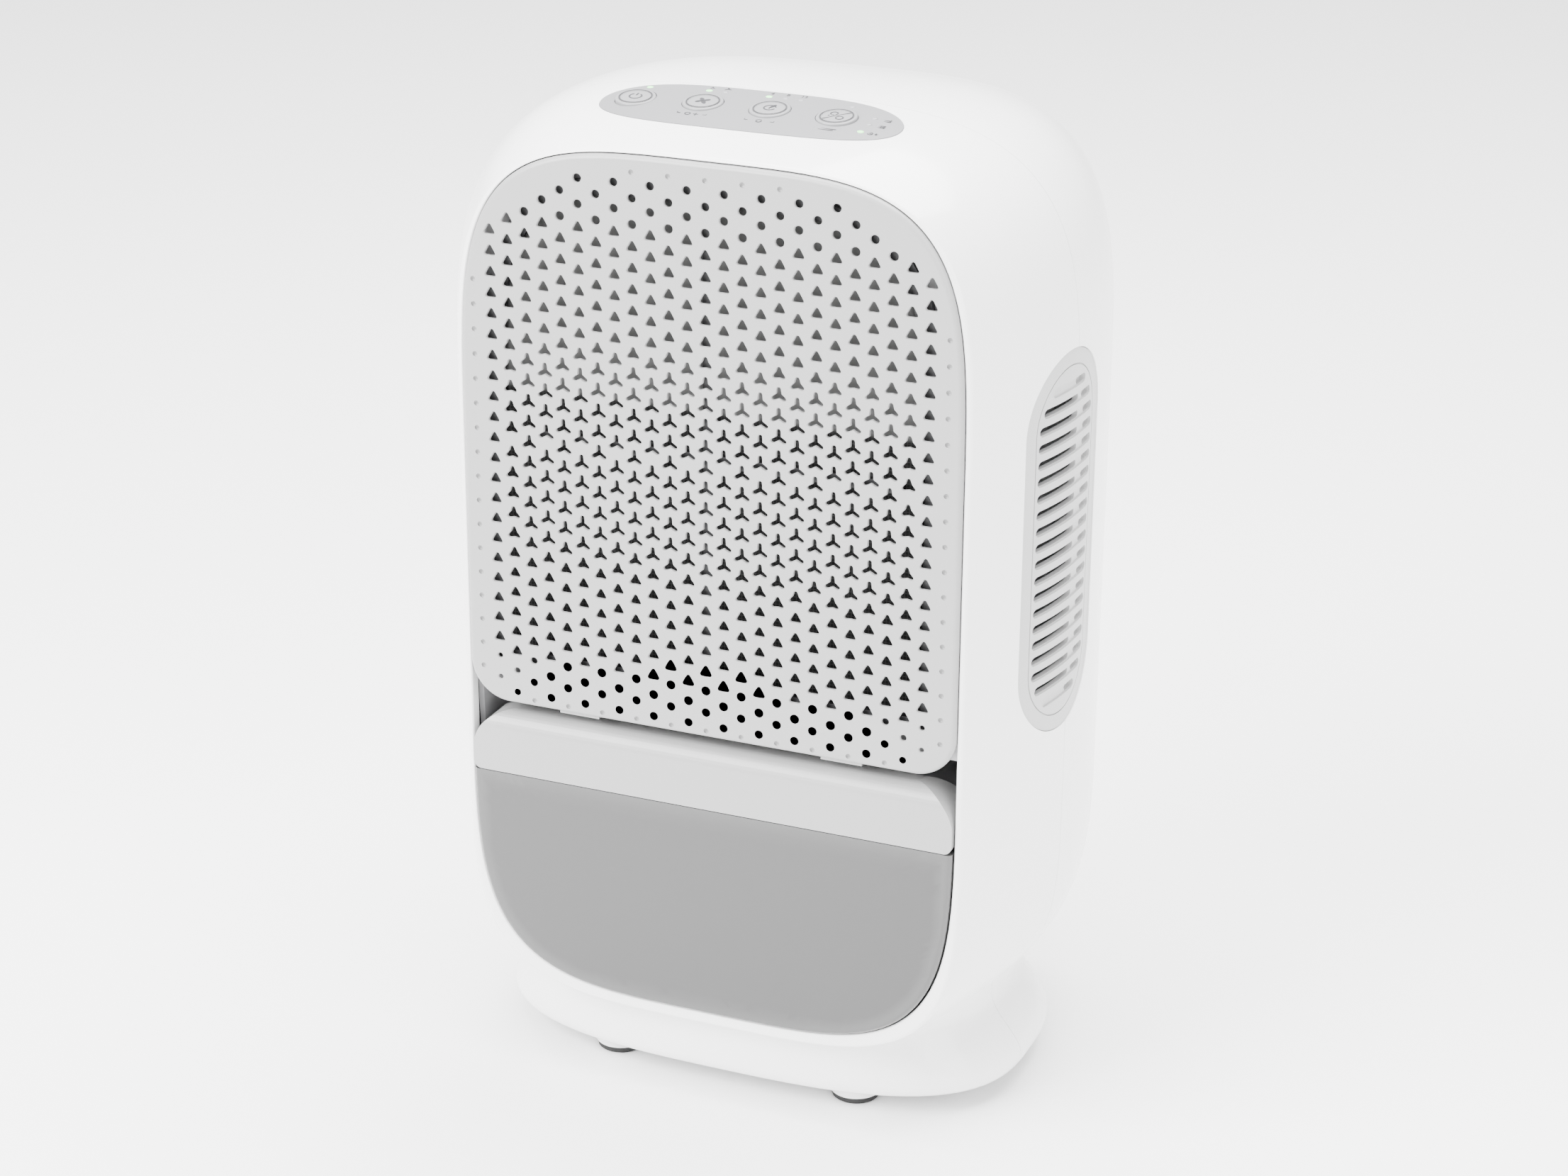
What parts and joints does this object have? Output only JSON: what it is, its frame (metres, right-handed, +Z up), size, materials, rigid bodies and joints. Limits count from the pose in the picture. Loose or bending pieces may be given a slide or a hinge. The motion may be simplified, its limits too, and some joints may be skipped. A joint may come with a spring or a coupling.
{
  "type": "dehumidifier",
  "caption": "Tabletop thermoelectric dehumidifier: glossy rounded case, perforated front grille, pull-out smoked water tank with light cap, top control panel and side vents.",
  "frame": {"origin": "on the floor under the middle of the bounding box", "axes": "+Z up, the front with the grille and tank faces -Y, +X to the right seen from the front"},
  "size_m": [0.225, 0.15, 0.36],
  "materials": {
    "case_white": "gloss",
    "grille_grey": "semi-gloss",
    "cap_grey": "semi-gloss",
    "tank_smoke": "smoked translucent gloss",
    "panel_grey": "satin",
    "vent_grey": "satin",
    "inner_grey": "matte",
    "black_plastic": "matte",
    "pad_rubber": "matte",
    "board_green": "satin",
    "sink_aluminium": "brushed",
    "ceramic_white": "matte",
    "lens_clear": "gloss",
    "steel": "satin"
  },
  "bodies": {
    "housing": {"front_shell": "case_white", "rear_shell": "case_white", "base_plate": "case_white", "foot_pad_1": "pad_rubber", "foot_pad_2": "pad_rubber", "foot_pad_3": "pad_rubber", "foot_pad_4": "pad_rubber", "control_overlay": "panel_grey", "led_power": "lens_clear", "led_low": "lens_clear", "led_high": "lens_clear", "led_4h": "lens_clear", "led_8h": "lens_clear", "led_12h": "lens_clear", "led_light": "lens_clear", "led_full": "lens_clear", "led_filter": "lens_clear", "led_ion": "lens_clear", "control_board": "board_green", "vent_left": "vent_grey", "vent_right": "vent_grey", "tank_bay": "inner_grey", "air_duct": "inner_grey", "drip_tray": "inner_grey", "cold_sink": "sink_aluminium", "cooling_module": "ceramic_white", "foam_gasket": "black_plastic", "hot_sink": "sink_aluminium", "fan_frame": "black_plastic", "main_board": "board_green", "power_inlet": "black_plastic", "ioniser": "ceramic_white", "night_light_board": "board_green", "float_sensor": "black_plastic", "tank_switch": "black_plastic", "case_screw_1": "steel", "case_screw_2": "steel", "base_screw_1": "steel", "base_screw_2": "steel", "base_screw_3": "steel", "base_screw_4": "steel"},
    "grille": {"grille_cover": "grille_grey", "filter_frame": "inner_grey", "filter_mesh": "black_plastic"},
    "tank": {"tank_body": "tank_smoke", "tank_lid": "cap_grey"},
    "float": {"tank_float": "ceramic_white", "float_magnet": "steel"},
    "rotor": {"fan_rotor": "black_plastic"},
    "power_key": {"button_power": "panel_grey"},
    "fan_key": {"button_fan": "panel_grey"},
    "timer_key": {"button_timer": "panel_grey"},
    "light_key": {"button_light": "panel_grey"}
  },
  "joints": [
    {"name": "tank_slide", "type": "slide", "parent": "housing", "child": "tank", "axis": [0, -1, 0], "range_m": [0, 0.14]},
    {"name": "grille_hinge", "type": "hinge", "parent": "housing", "child": "grille", "pos_m": [0, -0.0738, 0.344], "axis": [-1, 0, 0], "range_deg": [0, 30]},
    {"name": "float_hinge", "type": "hinge", "parent": "tank", "child": "float", "pos_m": [0.061, 0.046, 0.104], "axis": [-1, 0, 0], "range_deg": [0, 25]},
    {"name": "fan_spin", "type": "hinge", "parent": "housing", "child": "rotor", "pos_m": [0, 0.0127, 0.245], "axis": [0, 1, 0], "continuous": true},
    {"name": "power_press", "type": "slide", "parent": "housing", "child": "power_key", "axis": [0, 0.1497, -0.9887], "range_m": [0, 0.0006], "stiffness_N_per_m": 300, "springref_m": -0.0005},
    {"name": "fan_press", "type": "slide", "parent": "housing", "child": "fan_key", "axis": [0, 0.1497, -0.9887], "range_m": [0, 0.0006], "stiffness_N_per_m": 300, "springref_m": -0.0005},
    {"name": "timer_press", "type": "slide", "parent": "housing", "child": "timer_key", "axis": [0, 0.1497, -0.9887], "range_m": [0, 0.0006], "stiffness_N_per_m": 300, "springref_m": -0.0005},
    {"name": "light_press", "type": "slide", "parent": "housing", "child": "light_key", "axis": [0, 0.1497, -0.9887], "range_m": [0, 0.0006], "stiffness_N_per_m": 300, "springref_m": -0.0005}
  ]
}
